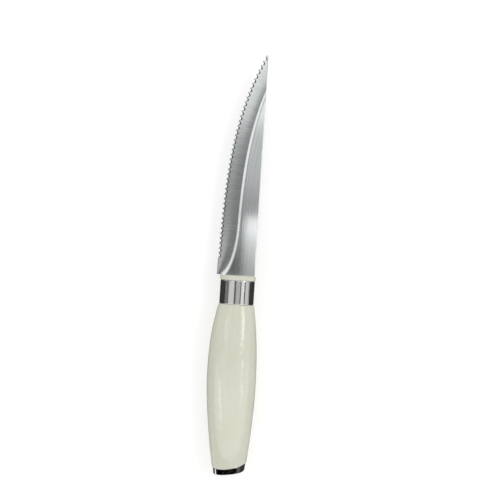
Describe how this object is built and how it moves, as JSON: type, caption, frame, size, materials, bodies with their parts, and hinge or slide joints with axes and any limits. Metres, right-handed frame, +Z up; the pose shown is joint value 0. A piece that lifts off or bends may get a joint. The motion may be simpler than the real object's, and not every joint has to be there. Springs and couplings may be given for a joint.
{
  "type": "serrated kitchen knife",
  "caption": "Serrated kitchen knife with a narrow hollow-ground blade sweeping to a pointed tip, an ivory moulded oval handle, a polished steel ferrule and a slanted steel end cap.",
  "frame": {"origin": "on the surface that the knife lies on, under the middle of its bounding box", "axes": "+Y along the knife towards the tip, +X towards the back of the blade, +Z up, square to the flat of the blade"},
  "size_m": [0.0276, 0.236, 0.0236],
  "materials": {
    "ground_steel": "stainless strip, polished on the flats, ground across the bevel and the teeth",
    "polished_steel": "stainless sheet, mirror polished",
    "ivory_plastic": "moulded ABS, glossy ivory",
    "core_plastic": "moulded polypropylene, natural"
  },
  "bodies": {
    "root": {"blade": "ground_steel", "front_collar": "ivory_plastic", "ferrule": "polished_steel", "handle": "ivory_plastic", "tang_grip_upper": "core_plastic", "tang_grip_lower": "core_plastic", "end_cap": "polished_steel", "cap_plug": "core_plastic"}
  },
  "joints": []
}
